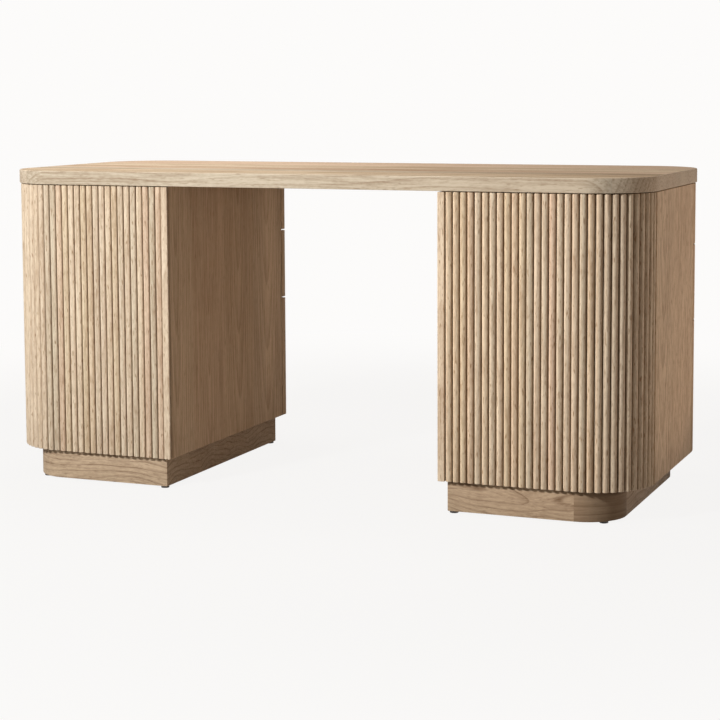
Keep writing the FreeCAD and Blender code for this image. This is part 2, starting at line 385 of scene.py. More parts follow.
def oak_group():
    """Oak as a solid: growth rings about a pith beside the grain, streaks, flecks and open pores.

    A place is cut into leaves across the grain, each with its own shift. Rings are the fraction of
    the distance to the pith over the ring width, so flat-sawn faces show arches and edges lines.
    """
    longest_shift, deepest_shift, pith_turn = 7.0, 0.03, 0.12
    bend_scale, streak_scale = (5.0, 5.0, 2.2), (240.0, 240.0, 4.0)
    mottle_scale, pore_scale = (210.0, 210.0, 60.0), (1300.0, 1300.0, 70.0)
    cloud_scale, fleck_scale = 14.0, 360.0
    late_end, fleck_range, pore_range = (0.90, 1.0), (0.60, 0.74), (0.56, 0.68)
    group, n, given, made = new_group("oak grain", {
        "Place": None, "Leaf Width": 0.2, "Ring Width": 0.007, "Pith Depth": 0.05, "Taper": 0.03,
        "Waviness": 0.012, "Ring Edge": 2.0, "Fleck Count": 95.0, "Leaf Spread": 1.0,
        "Mottle Size": 1.0, "Cloud Count": 3.0}, (*grain_marks, "Leaf"))
    parts = n.axes(given["Place"])
    leaf_place = n.math("DIVIDE", parts["Y"], given["Leaf Width"])
    leaf = n.math("FLOOR", leaf_place)
    across = n.math("MULTIPLY", n.math("SUBTRACT", n.math("FRACT", leaf_place), 0.5),
                    given["Leaf Width"])
    leaf_noise = n.add("ShaderNodeTexWhiteNoise", {"W": leaf}, noise_dimensions="1D")
    shift = n.axes(leaf_noise.outputs["Color"])
    along = n.math("ADD", parts["Z"], n.math("MULTIPLY", shift["X"], longest_shift))
    depth = n.math("ADD", parts["X"], n.math("MULTIPLY", shift["Y"], deepest_shift))
    place = n.place(depth, across, along)
    bend = n.vector("SUBTRACT", n.noise(place, bend_scale)["Color"], (0.5, 0.5, 0.5))
    scale = n.place(given["Waviness"], given["Waviness"], 0.0)
    bent = n.vector("ADD", place, n.vector("MULTIPLY", bend, scale))
    bent_parts = n.axes(bent)
    lean = n.math("MULTIPLY", along, given["Taper"])
    below = n.math("ADD", n.math("ADD", bent_parts["X"], given["Pith Depth"]), lean)
    below = n.math("PINGPONG", below, pith_turn)
    reach = n.math("SQRT", n.math("ADD", n.math("MULTIPLY", below, below),
                                  n.math("MULTIPLY", bent_parts["Y"], bent_parts["Y"])))
    phase = n.math("FRACT", n.math("DIVIDE", reach, given["Ring Width"]))
    late = n.math("POWER", phase, given["Ring Edge"])
    rings = n.math("MULTIPLY", late, n.smooth(phase, *late_end, 1.0, 0.0))
    streaks = n.noise(bent, streak_scale, 3.0, 0.6)["Fac"]
    cloud_size = n.place(cloud_scale, cloud_scale, given["Cloud Count"])
    clouds = n.noise(place, cloud_size, 3.0, 0.55)["Fac"]
    fleck_size = n.place(fleck_scale, fleck_scale, given["Fleck Count"])
    flecks = n.smooth(n.noise(bent, fleck_size, 1.0)["Fac"], *fleck_range)
    shrink = n.math("DIVIDE", 1.0, given["Mottle Size"])
    mottle_place = n.add("ShaderNodeVectorMath", {0: bent, 3: shrink}, operation="SCALE").outputs[0]
    mottle = n.noise(mottle_place, mottle_scale, 3.0, 0.65)["Fac"]
    pores = n.smooth(n.noise(bent, pore_scale, 1.0)["Fac"], *pore_range)
    leaf_tone = n.math("MULTIPLY", n.math("SUBTRACT", shift["Z"], 0.5), given["Leaf Spread"])
    for label, value in zip(grain_marks, (rings, streaks, clouds, flecks, mottle, pores)):
        n.join(value, made[label])
    n.join(leaf_tone, made["Leaf"])
    return group


def stain_group():
    """Colour of the oak: pale wood darkened by rings, streaks, mottle, flecks and pores.

    Tone from 0 to 1 tints it from a grey board through a straw one to a pink one. A painted
    highlight makes arrises and reed shoulders paler, and painted shade makes the reed
    grooves darker and browner.
    """
    ground_share, pore_share, painted_highlight_share = 0.18, 0.12, 0.8
    rough_ground, rough_streaks, rough_pores = 0.50, 0.16, 0.10
    streak_height, pore_depth, fleck_depth = 0.35, 0.45, 0.35
    # Tints for a painted highlight on arrises and reed shoulders, and for painted shade in the reed
    # grooves.
    painted_highlight_tint, painted_shade_tint = (1.45, 1.45, 1.42, 1.0), (0.30, 0.20, 0.12, 1.0)
    end_tints = ((0.81, 0.86, 0.86, 1.0), (0.96, 0.885, 0.87, 1.0))
    middle_tints = ((0.3, (0.97, 0.975, 0.98, 1.0)), (0.55, (1.02, 1.02, 1.0, 1.0)),
                    (0.8, (0.92, 0.91, 0.83, 1.0)))
    group, n, given, made = new_group("oak colour", {
        "Pale": (0.6, 0.48, 0.35, 1.0), "Dark": (0.3, 0.2, 0.13, 1.0),
        "Rings": 0.0, "Streaks": 0.5, "Clouds": 0.5, "Flecks": 0.0, "Mottle": 0.5, "Pores": 0.0,
        "Tone": 0.5, "Painted Highlight": 0.0, "Painted Shade": 0.0, "Ring Share": 0.3, "Streak Share": 0.5,
        "Cloud Share": 0.5, "Mottle Share": 0.4, "Fleck Share": 0.4, "Tint Share": 0.6},
        ("Roughness", "Height"), ("Color",))
    share = n.math("MULTIPLY", given["Rings"], given["Ring Share"])
    for mark, weight in (("Streaks", "Streak Share"), ("Clouds", "Cloud Share"),
                         ("Mottle", "Mottle Share")):
        part = n.math("MULTIPLY", n.math("SUBTRACT", given[mark], 0.5), given[weight])
        share = n.math("ADD", share, part)
    share = n.math("ADD", share, ground_share, clamp=True)
    color = n.mix(share, given["Pale"], given["Dark"])
    spots = n.math("ADD", n.math("MULTIPLY", given["Flecks"], given["Fleck Share"]),
                   n.math("MULTIPLY", given["Pores"], pore_share), clamp=True)
    color = n.mix(spots, color, given["Dark"])
    tint = n.add("ShaderNodeValToRGB", {"Fac": given["Tone"]})
    stops = tint.color_ramp.elements
    for stop, value in zip(stops, end_tints):
        stop.color = value
    for position, value in middle_tints:
        stops.new(position).color = value
    tinted = n.mix(1.0, color, tint.outputs["Color"], "MULTIPLY")
    color = n.mix(given["Tint Share"], color, tinted)
    # Painted highlight pales arrises and reed shoulders; painted shade darkens the reed grooves.
    highlighted = n.mix(1.0, color, painted_highlight_tint, "MULTIPLY")
    color = n.mix(n.math("MULTIPLY", given["Painted Highlight"], painted_highlight_share), color, highlighted)
    groove_shaded = n.mix(1.0, color, painted_shade_tint, "MULTIPLY")
    color = n.mix(given["Painted Shade"], color, groove_shaded)
    rough = n.math("ADD", n.math("MULTIPLY", given["Streaks"], rough_streaks), rough_ground)
    rough = n.math("ADD", rough, n.math("MULTIPLY", given["Pores"], rough_pores))
    height = n.math("MULTIPLY", given["Streaks"], streak_height)
    height = n.math("SUBTRACT", height, n.math("MULTIPLY", given["Pores"], pore_depth))
    height = n.math("SUBTRACT", height, n.math("MULTIPLY", given["Flecks"], fleck_depth))
    for label, value in (("Color", color), ("Roughness", rough), ("Height", height)):
        n.join(value, made[label])
    return group


oak_grain = oak_group()
oak_colour = stain_group()


def new_material(name):
    """Material, its node tools and the inputs of its Principled BSDF."""
    material = bpy.data.materials.new(name)
    material.use_nodes = True
    tree = material.node_tree
    return material, Nodes(tree), tree.nodes["Principled BSDF"].inputs


def oak_material(name, pale, dark, looks, places="own", gloss=0.06):
    """Oak under a matt lacquer; looks are inputs of the two oak groups.

    places is "own" for the board places stored with a piece, or "upright" or "level" for places in
    the desk, with the grain along Z or along Y.
    """
    material, n, principled = new_material(name)
    grown = n.add("ShaderNodeGroup", node_tree=oak_grain)
    stained = n.add("ShaderNodeGroup", node_tree=oak_colour)
    for label, value in {"Pale": (*pale, 1.0), "Dark": (*dark, 1.0), **looks}.items():
        group_inputs = grown.inputs if label in grown.inputs else stained.inputs
        group_inputs[label].default_value = value
    for label in grain_marks:
        n.join(grown.outputs[label], stained.inputs[label])
    leaf = grown.outputs["Leaf"]
    if places == "own":
        place = n.add("ShaderNodeAttribute", attribute_name="wood").outputs["Vector"]
        tone, painted_highlight, painted_shade = (n.add("ShaderNodeAttribute", attribute_name=label).outputs["Fac"]
                             for label in ("tone", "painted_highlight", "painted_shade"))
        n.join(n.math("ADD", tone, leaf, clamp=True), stained.inputs["Tone"])
        n.join(painted_highlight, stained.inputs["Painted Highlight"])
        n.join(painted_shade, stained.inputs["Painted Shade"])
    else:
        place = n.object_place()
        n.join(n.math("ADD", leaf, 0.5), stained.inputs["Tone"])
    if places == "level":
        axes = n.axes(place)
        place = n.place(axes["Z"], axes["X"], axes["Y"])
    n.join(place, grown.inputs["Place"])
    n.join(stained.outputs["Color"], principled["Base Color"])
    n.join(stained.outputs["Roughness"], principled["Roughness"])
    bump = n.add("ShaderNodeBump", {"Strength": grain_strength, "Distance": grain_depth,
                                    "Height": stained.outputs["Height"]})
    n.join(bump.outputs["Normal"], principled["Normal"])
    principled["Specular IOR Level"].default_value = gloss
    return material


oak_pale = (0.705, 0.56, 0.415)
oak_dark = (0.35, 0.225, 0.14)
# Browner, darker copy of the oak for sides, fronts and case: partly another veneer, partly painted
# shade for the upright sides, which stand in shade.
side_pale = (0.69, 0.50, 0.335)
side_dark = (0.30, 0.178, 0.10)
reed_oak = oak_material("reed_oak", oak_pale, oak_dark, {
    "Leaf Width": 0.08, "Ring Width": 0.006, "Pith Depth": 0.03, "Leaf Spread": 0.0,
    "Fleck Count": 55.0, "Mottle Size": 1.3, "Ring Share": 0.35, "Streak Share": 1.0,
    "Cloud Share": 0.8, "Mottle Share": 1.2, "Fleck Share": 1.0, "Tint Share": 0.75})
top_oak = oak_material("top_oak", oak_pale, oak_dark, {
    "Leaf Width": 0.085, "Ring Width": 0.007, "Pith Depth": 0.04, "Taper": 0.02, "Ring Edge": 3.0,
    "Cloud Count": 0.8, "Ring Share": 0.6, "Streak Share": 1.7, "Cloud Share": 3.3,
    "Mottle Share": 0.7, "Fleck Share": 0.5, "Tint Share": 0.8}, gloss=0.0)
lipping_oak = oak_material("lipping_oak", (0.60, 0.485, 0.365), (0.28, 0.18, 0.11), {
    "Leaf Width": 0.3, "Ring Width": 0.010, "Pith Depth": 0.03, "Waviness": 0.03, "Ring Edge": 4.0,
    "Fleck Count": 40.0, "Ring Share": 0.5, "Streak Share": 1.5, "Cloud Share": 0.8,
    "Mottle Share": 0.9, "Fleck Share": 0.5, "Tint Share": 0.4})
side_oak = oak_material("side_oak", side_pale, side_dark, {
    "Leaf Width": 0.17, "Ring Width": 0.0085, "Pith Depth": 0.05, "Taper": 0.05,
    "Fleck Count": 32.0, "Ring Share": 0.4, "Streak Share": 1.3, "Cloud Share": 0.6,
    "Mottle Share": 0.4, "Fleck Share": 0.5, "Tint Share": 0.5})
end_oak = oak_material("end_oak", side_pale, side_dark, {
    "Leaf Width": 0.196, "Ring Width": 0.0085, "Pith Depth": 0.02, "Taper": 0.06,
    "Waviness": 0.025, "Ring Edge": 3.0, "Fleck Count": 45.0, "Mottle Size": 2.6,
    "Ring Share": 0.5, "Streak Share": 1.2, "Cloud Share": 0.8, "Mottle Share": 1.3,
    "Fleck Share": 1.0, "Tint Share": 0.5})
# Plinth oak, much darker than the pedestal oak: painted shade under the overhanging body.
plinth_oak = oak_material("plinth_oak", (0.51, 0.37, 0.25), (0.18, 0.105, 0.06), {
    "Leaf Width": 0.2, "Ring Width": 0.012, "Pith Depth": 0.0, "Taper": 0.0, "Waviness": 0.13,
    "Ring Edge": 9.0, "Fleck Count": 60.0, "Ring Share": 1.1, "Streak Share": 1.2,
    "Cloud Share": 0.8, "Mottle Share": 0.8, "Tint Share": 0.3})
# Much darker oak for the right plinth's bent corners: partly darker wood, partly painted shade
# where the corner turns away from the light.
bent_oak_and_painted_shade = oak_material("bent_oak_and_painted_shade", (0.34, 0.236, 0.153), (0.16, 0.093, 0.053), {
    "Leaf Width": 0.2, "Ring Width": 0.013, "Pith Depth": 0.0, "Taper": 0.0, "Waviness": 0.02,
    "Ring Edge": 3.0, "Fleck Count": 30.0, "Ring Share": 0.5, "Streak Share": 0.9,
    "Cloud Share": 0.4, "Mottle Share": 0.3, "Fleck Share": 0.3, "Tint Share": 0.3})
corner_oak = {"right": bent_oak_and_painted_shade, "left": plinth_oak}
case_oak = oak_material("case_oak", side_pale, side_dark, {
    "Leaf Width": 0.3, "Ring Share": 0.3}, places="level")
# Dark brown backing that shows only at the bottom of the reed grooves: painted shade.
groove_painted_shade = oak_material("groove_painted_shade", (0.20, 0.13, 0.08), (0.10, 0.06, 0.035), {
    "Leaf Width": 0.3, "Ring Share": 0.3}, places="upright")
box_birch = oak_material("drawer_birch", (0.74, 0.62, 0.46), (0.50, 0.38, 0.25), {
    "Leaf Width": 0.4, "Ring Width": 0.012, "Ring Share": 0.3, "Streak Share": 0.4,
    "Fleck Share": 0.1, "Tint Share": 0.3})
base_birch = oak_material("base_birch", (0.70, 0.585, 0.435), (0.46, 0.345, 0.225), {
    "Leaf Width": 0.8, "Ring Width": 0.016, "Pith Depth": 0.06, "Taper": 0.05, "Waviness": 0.04,
    "Ring Share": 0.45, "Streak Share": 0.7, "Cloud Share": 0.6, "Fleck Share": 0.15,
    "Tint Share": 0.3}, places="level")


def steel_material(name, bright, dull):
    """Zinc-plated steel: fine lines along Y set the roughness, and broad clouds the colour."""
    line_scale, cloud_scale = (1500.0, 12.0, 1500.0), (40.0, 25.0, 40.0)
    smoothest, rough_lines = 0.22, 0.25
    material, n, principled = new_material(name)
    place = n.object_place()
    lines = n.noise(place, line_scale, 2.0, 0.6)["Fac"]
    clouds = n.noise(place, cloud_scale)["Fac"]
    n.join(n.mix(clouds, (*dull, 1.0), (*bright, 1.0)), principled["Base Color"])
    rough = n.math("ADD", n.math("MULTIPLY", lines, rough_lines), smoothest)
    n.join(rough, principled["Roughness"])
    principled["Metallic"].default_value = 1.0
    return material


zinc_steel = steel_material("zinc_steel", (0.40, 0.41, 0.43), (0.27, 0.275, 0.29))


def plastic_material(name, pale, dark):
    """Dark moulded plastic with a fine grain."""
    grain_scale, smoothest, rough_grain = (900.0, 900.0, 900.0), 0.45, 0.2
    material, n, principled = new_material(name)
    grain = n.noise(n.object_place(), grain_scale)["Fac"]
    n.join(n.mix(grain, (*dark, 1.0), (*pale, 1.0)), principled["Base Color"])
    rough = n.math("ADD", n.math("MULTIPLY", grain, rough_grain), smoothest)
    n.join(rough, principled["Roughness"])
    return material


glide_plastic = plastic_material("glide_plastic", (0.07, 0.06, 0.055), (0.035, 0.03, 0.028))


# Desk top

def desk_top():
    """Slab whose plan is a rectangle with quarter-circle corners, and whose rim is a lipping.

    The grain runs along X.
    """
    radius = corner_radius + overhang
    (x0, y0, z0), (x1, y1, z1) = top_low, top_high
    upper, lower = rectangle_halves(x0, x1, y0, y1, radius, count=8, steps=28)
    plan, depth, painted_highlight, faces = board(upper, lower, z1 - z0, top_upper_round, top_lower_round,
                                    steps=5)
    points = np.column_stack([plan, z1 - depth])
    rim = np.arange(len(faces)) < len(faces) - 2 * (len(upper) - 1)
    wood = np.column_stack([depth, plan[:, 1], plan[:, 0]]) + slab_offset
    tone = np.where(depth > top_upper_round / 2, rim_tone, top_tone)
    make_piece("desk_top_slab", points, faces, "case", top_oak, ["desk_top"], wood,
               tone, top_painted_highlight * painted_highlight, banding=(lipping_oak, rim))


desk_top()


# Reeds

def reed_profile(width):
    """Closed section of a reed: flat back, short flanks and an arc through the crest.

    The arc's radius is (half width squared + rise squared) over twice the rise.
    """
    half = width / 2
    rise = reed_height - reed_flank
    radius = (half ** 2 + rise ** 2) / (2 * rise)
    reach = math.asin(min(1.0, half / radius))
    angle = np.linspace(-reach, reach, reed_arc_points)
    drop = radius * (1 - np.cos(angle))
    arc = np.stack([radius * np.sin(angle), reed_flank + rise - drop], -1)
    return np.vstack([[-half, 0], arc, [half, 0]])


def strip_profile(width):
    """Closed section of the flat strip beside the kneehole: a rectangle with two rounded arrises.

    It has as many points as a reed's section.
    """
    half = width / 2
    left, right = quarter(8), quarter(9)[::-1]
    r = strip_arris
    first = np.stack([r - half - r * np.cos(left), reed_height - r + r * np.sin(left)], -1)
    last = np.stack([half - r + r * np.cos(right), reed_height - r + r * np.sin(right)], -1)
    return np.vstack([[-half, 0], first, last, [half, 0]])


def drawn_in(section, inset):
    """Rows of a reed: its section, drawn in towards the middle by each row's inset."""
    away = np.array([0, reed_height * reed_middle]) - section
    away /= np.linalg.norm(away, axis=1, keepdims=True)
    return section[None] + inset[:, None, None] * away[None]


def reed_run(side):
    """All reeds of one pedestal: the section carried up the height, with rounded ends.

    A reed's end rows draw the section in towards its middle by a quarter circle of inset and
    height. Flat reeds step along X, and corner reeds are turned about the corner's axis. Painted
    shade in the grooves and a painted highlight on the shoulders fade round the corner, by the
    side's fade times the share of the turn.
    """
    flat_count = round(flat_length / reed_pitch)
    backing_radius = corner_radius - reed_height
    corner_length = backing_radius * math.pi / 2
    corner_count = round(corner_length / reed_pitch)
    count = flat_count + corner_count
    flat_pitch = flat_length / flat_count
    corner_pitch = corner_length / corner_count
    turn = quarter(3)
    draw = reed_end_round * (1 - np.sin(turn))
    rise = reed_end_round * (1 - np.cos(turn))
    inset = np.concatenate([draw, draw[::-1]])
    height = np.concatenate([body_bottom + rise, body_top - rise[::-1]])
    strip = drawn_in(strip_profile(flat_pitch - reed_gap / 2), inset)
    flat = drawn_in(reed_profile(flat_pitch - reed_gap), inset)
    bent = drawn_in(reed_profile(corner_pitch - reed_gap), inset)
    shape = np.stack([strip] + [flat] * (flat_count - 1) + [bent] * corner_count)
    rows, columns = shape.shape[1:3]
    per_reed = rows * columns
    index = np.arange(count)
    on_flat = index < flat_count
    angle = np.where(on_flat, 0, (index - flat_count + 0.5) * math.pi / 2 / corner_count)
    foot_x = np.where(on_flat, inner_face + (index + 0.5) * flat_pitch,
                      corner_x + backing_radius * np.sin(angle))
    foot_y = front_corner_y - backing_radius * np.cos(angle)
    foot_x[0] -= reed_gap / 4
    cos, sin = np.cos(angle)[:, None, None], np.sin(angle)[:, None, None]
    x = foot_x[:, None, None] + shape[..., 0] * cos + shape[..., 1] * sin
    y = foot_y[:, None, None] + shape[..., 0] * sin - shape[..., 1] * cos
    z = np.broadcast_to(height[None, :, None], x.shape)
    points = mirrored(np.stack([x, y, z], -1).reshape(-1, 3), sides[side])
    first = index[:, None] * per_reed
    faces = (grid_faces(rows, columns, True)[None] + first[..., None]).reshape(-1, 4)
    low_end = first + np.arange(columns)
    caps = np.vstack([low_end, low_end + (rows - 1) * columns])
    shift = luck(reed_reach, reed_spread, (count, 1, 1, 3))
    wood = np.stack([shape[..., 1], shape[..., 0] + reed_leaf_offset, z], -1) + shift
    spread = np.where(index > flat_count + 1, corner_tone_spread, 1.0)
    tone = np.repeat(0.5 + spread * chance.uniform(-0.5, 0.5, count), per_reed)
    crest = np.clip(shape[..., 1] / reed_height, 0, 1).reshape(-1)
    turned_share = np.repeat(angle / (math.pi / 2), per_reed)
    # Painted shade darkens each groove below a share of the reed's height, and a painted highlight
    # pales a band on both shoulders; both fade round the corner.
    kept = np.clip(1 - painted_shade_fade[side] * turned_share, 0, 1)
    painted_shade = kept * np.clip(1 - crest / painted_shade_share, 0, 1)
    painted_highlight = kept * reed_painted_highlight * np.clip(1 - np.abs(crest - reed_highlight_crest) / reed_highlight_reach, 0, 1)
    make_piece(side + "_reed_run", points, faces, "case", reed_oak, [side + "_reeds"],
               wood.reshape(-1, 3), tone, painted_highlight, painted_shade, caps=caps)


for side_name in sides:
    reed_run(side_name)


# Pedestal sides

def side_panels(side):
    """Flat veneered panels: outlines in the plane of Y and Z, depth along X and upright grain."""
    for label, low, high, face_x, inwards, oak in (
            ("inner_side", inner_low, inner_high, inner_face, 1, side_oak),
            ("outer_side", outer_low, outer_high, outer_face, -1, end_oak)):
        halves = rectangle_halves(low[1], high[1], low[2], high[2], board_corner, count=2, steps=3)
        plan, depth, painted_highlight, faces = board(*halves, panel_thickness, panel_round, panel_round, steps=3)
        points = np.column_stack([face_x + inwards * depth, plan])
        wood = np.column_stack([depth, plan]) + luck(veneer_reach, veneer_spread)
        make_piece(side + "_" + label + "_panel", mirrored(points, sides[side]), faces, "case", oak,
                   [side + "_" + label], wood, panel_tone, painted_highlight)


for side_name in sides:
    side_panels(side_name)


# Plinths

def ring_outline(x0, x1, y0, y1, outer_radius, inner_radius, steps):
    """Closed rectangle with large quarter circles at x1 and small ones at x0, in order round."""
    left, right = x0 + inner_radius, x1 - outer_radius
    centres = np.array([[left, y0 + inner_radius], [right, y0 + outer_radius],
                        [right, y1 - outer_radius], [left, y1 - inner_radius]])
    radii = np.array([inner_radius, outer_radius, outer_radius, inner_radius])[:, None, None]
    angle = np.array([math.pi, -math.pi / 2, 0, math.pi / 2])[:, None] + quarter(steps)[None]
    places = centres[:, None] + radii * np.stack([np.cos(angle), np.sin(angle)], -1)
    return places.reshape(-1, 2)


def plinth_band(side):
    """Band round the plinth: an upright section with rounded arrises, carried along the ring.

    A point of the section lies between the outer and the inner outline by its share of the
    thickness. The two large corners are bent pieces, much darker on the right pedestal: partly a
    darker bent piece, partly painted shade where the corner turns away from the light.
    """
    x0, y0, z0 = plinth_low
    x1, y1, z1 = plinth_high
    t = plinth_thickness
    corner_points = plinth_steps + 1
    outer = ring_outline(x0, x1, y0, y1, plinth_corner_radius, plinth_arris, plinth_steps)
    inner = ring_outline(x0 + t, x1 - t, y0 + t, y1 - t, plinth_corner_radius - t,
                         plinth_arris / 3, plinth_steps)
    length = np.concatenate([[0], np.cumsum(np.linalg.norm(np.diff(outer, axis=0), axis=1))])
    turn = quarter(3)
    fall = plinth_arris * (1 - np.sin(turn))
    slip = plinth_arris * (1 - np.cos(turn))
    inset = np.concatenate([fall, fall[::-1], t - fall, t - fall[::-1]])
    height = np.concatenate([z0 + slip, z1 - slip[::-1], z1 - slip, z0 + slip[::-1]])
    painted_highlight = np.tile(np.sin(2 * turn), 4)
    ring = outer[None] + (inset / t)[:, None, None] * (inner - outer)[None]
    rows, columns = ring.shape[:2]
    z = np.repeat(height, columns)
    points = np.column_stack([ring.reshape(-1, 2), z])
    index = np.arange(columns)
    following = np.roll(index, -1)
    last = (rows - 1) * columns
    closing = np.stack([index, following, following + last, index + last], -1)
    faces = np.vstack([grid_faces(rows, columns, True), closing])
    wood = np.column_stack([np.repeat(inset, columns), z + plinth_leaf_offset,
                            np.tile(length, rows)]) + luck(plinth_reach, plinth_spread)
    corner = index // corner_points
    on_turn = ((corner == 1) | (corner == 2)) & (index % corner_points < plinth_steps)
    make_piece(side + "_plinth_band", mirrored(points, sides[side]), faces, "case", plinth_oak,
               [side + "_plinth"], wood, panel_tone, np.repeat(painted_highlight, columns),
               banding=(corner_oak[side], np.tile(on_turn, rows)))


for side_name in sides:
    plinth_band(side_name)


# Drawer fronts

def notched_run(start, end, level, left, right):
    """Upper edge of a front, with its finger notch.

    It runs straight, goes down by an outward and an inward quarter circle, along the notch's floor
    and up again the same way, and straight on.
    """
    turn = quarter(5)
    floor_level = level - notch_depth
    r, f = notch_outer_round, notch_inner_round
    brow = np.stack([left - r + r * np.sin(turn), level - r + r * np.cos(turn)], -1)
    foot = np.stack([left + f - f * np.cos(turn), floor_level + f - f * np.sin(turn)], -1)
    down = np.vstack([brow, foot])
    up = np.column_stack([left + right - down[::-1, 0], down[::-1, 1]])
    before = straight_run(start, left - r, level, count=8)
    after = straight_run(right + r, end, level, count=56)
    return np.vstack([before, down, up, after])


def bent_place(along, depth, height):
    """Place on a front: straight along X, then round the rear corner, depth in from the face."""
    angle = np.maximum(along - flat_length, 0) / corner_radius
    radius = corner_radius - depth
    x = np.where(along < flat_length, inner_face + along, corner_x + radius * np.sin(angle))
    y = rear_corner_y + radius * np.cos(angle)
    return np.column_stack([x, y, height])


def drawer_front(side, level, leaf_shift):
    """Front board bent round the rear corner: an outline in run and height, then the bend."""
    node = f"{side}_{level}_drawer_front"
    low, high = span(node)
    z0, z1 = low[2], high[2]
    end = flat_length + corner_radius * math.pi / 2 - front_clearance
    middle = (outer_face - inner_face) / 2
    run = notched_run(board_corner, end - board_corner, z1, middle - notch_width / 2,
                      middle + notch_width / 2)
    step = np.linalg.norm(np.diff(run, axis=0), axis=1)
    length = np.concatenate([[0], np.cumsum(step)]) / step.sum()
    low_along = run[0, 0] + length * (run[-1, 0] - run[0, 0])
    low_run = np.column_stack([low_along, np.full(len(run), z0)])
    centre = (z0 + z1 - notch_depth) / 2
    upper = half_outline(0, end, centre, run, board_corner, way=1, steps=3)
    lower = half_outline(0, end, centre, low_run, board_corner, way=-1, steps=3)
    plan, depth, painted_highlight, faces = board(upper, lower, front_thickness, front_round, panel_round,
                                    steps=4)
    points = bent_place(plan[:, 0], depth, plan[:, 1])
    wood = np.column_stack([depth, plan]) + leaf_shift
    make_piece(node + "_board", mirrored(points, sides[side]), faces, f"{side}_{level}_drawer",
               side_oak, [node], wood, panel_tone, painted_highlight)


for side_name in sides:
    front_shift = luck(veneer_reach, veneer_spread)
    for level_name in levels:
        drawer_front(side_name, level_name, front_shift)


# Drawer boxes

def joined(parts):
    """One set of arrays from several, each a tuple of values for its points and its faces last."""
    counts = np.cumsum([0] + [len(part[0]) for part in parts])
    *columns, faces = zip(*parts)
    quads = np.vstack([some + first for some, first in zip(faces, counts)])
    return (*[np.concatenate(column) for column in columns], quads)


def drawer_box(side, level):
    """Two sides and a back with rounded arrises.

    The outer side ends on the circle of the curved front's inner face, so its run is stretched at
    each depth from the back to that circle.
    """
    (x0, y0, z0), (x1, y1, z1) = span(f"right_{level}_drawer_walls")
    halves = rectangle_halves(y0, y1, z0, z1, board_corner, count=6, steps=3)
    plan, depth, painted_highlight, faces = board(*halves, box_wall, box_round, box_round, steps=3)
    inner = np.column_stack([x0 + depth, plan])
    x = x1 - depth
    front_radius = corner_radius - front_thickness
    reach = rear_corner_y + np.sqrt(front_radius ** 2 - (x - corner_x) ** 2)
    stretched = y0 + (plan[:, 0] - y0) * (reach - y0) / (y1 - y0)
    outer = np.column_stack([x, stretched, plan[:, 1]])
    wood = np.column_stack([depth, plan[:, 1], plan[:, 0]])
    halves = rectangle_halves(x0 + box_wall, x1 - box_wall, z0, z1, board_corner, count=6, steps=3)
    back_plan, back_depth, back_painted_highlight, back_faces = board(*halves, box_wall, box_round, box_round,
                                                        steps=3)
    back = np.column_stack([back_plan[:, 0], y0 + back_depth, back_plan[:, 1]])
    back_wood = np.column_stack([back_depth, back_plan[:, 1], back_plan[:, 0]])
    shifts = luck(veneer_reach, veneer_spread, (3, 3))
    points, places, painted_highlights, quads = joined([(inner, wood + shifts[0], painted_highlight, faces),
                                          (outer, wood + shifts[1], painted_highlight, faces),
                                          (back, back_wood + shifts[2], back_painted_highlight, back_faces)])
    make_piece(f"{side}_{level}_drawer_box", mirrored(points, sides[side]), quads,
               f"{side}_{level}_drawer", box_birch, [f"{side}_{level}_drawer_walls"],
               places, box_tone, painted_highlights)


def slide_screws(side, level):
    """Pan heads along the webs of a drawer's two slide members: a turned profile laid along X.

    The profile goes out over the floor and the wall of the recess, and down the dome to the web.
    """
    low, high = span(f"right_{level}_slide_inner")
    turn = quarter(4)[::-1]
    dome_radii = screw_radius * np.cos(turn)[1:]
    dome_lifts = screw_edge + screw_dome * np.sin(turn)[1:]
    radii = np.concatenate([[0], recess_radii, dome_radii, [screw_radius]])
    lifts = np.concatenate([[recess_lifts[0]], recess_lifts, dome_lifts, [0]])
    one, quads = turned(radii, lifts, sectors=16)
    level_z = (low[2] + high[2]) / 2
    parts = []
    for web, way in ((low[0] + box_to_web, -1), (high[0] - box_to_web, 1)):
        for y in low[1] + (high[1] - low[1]) * np.array(screw_places):
            head = np.column_stack([web + way * one[:, 2], y + one[:, 0], level_z + one[:, 1]])
            parts.append((head, quads))
    points, faces = joined(parts)
    make_piece(f"{side}_{level}_slide_screws", mirrored(points, sides[side]), faces,
               f"{side}_{level}_drawer", zinc_steel, [])


for side_name in sides:
    for level_name in levels:
        drawer_box(side_name, level_name)
        slide_screws(side_name, level_name)


# Glides

def glide_set(side):
    """Four turned glides with a rounded foot, under the plinth's corners."""
    radius = (glide_high[2] - glide_low[2]) * 2
    (x0, y0, _), (x1, y1, _) = plinth_low, plinth_high
    reach = (plinth_corner_radius - glide_inset) * math.sqrt(0.5)
    corner_inset = plinth_corner_radius - reach
    places = np.array([[x0 + glide_inset, y0 + glide_inset], [x0 + glide_inset, y1 - glide_inset],
                       [x1 - corner_inset, y0 + corner_inset],
                       [x1 - corner_inset, y1 - corner_inset]])
    turn = quarter(4)
    foot = radius - glide_round + glide_round * np.sin(turn)
    radii = np.concatenate([[0], foot, [radius, 0]])
    heights = np.concatenate([[0], glide_round * (1 - np.cos(turn)), [glide_high[2]] * 2])
    one, quads = turned(radii, heights, sectors=32)
    points, faces = joined([(one + np.array([x, y, 0]), quads) for x, y in places])
    make_piece(side + "_glide_set", mirrored(points, sides[side]), faces, "case", glide_plastic,
               [side + "_glides"])


for side_name in sides:
    glide_set(side_name)


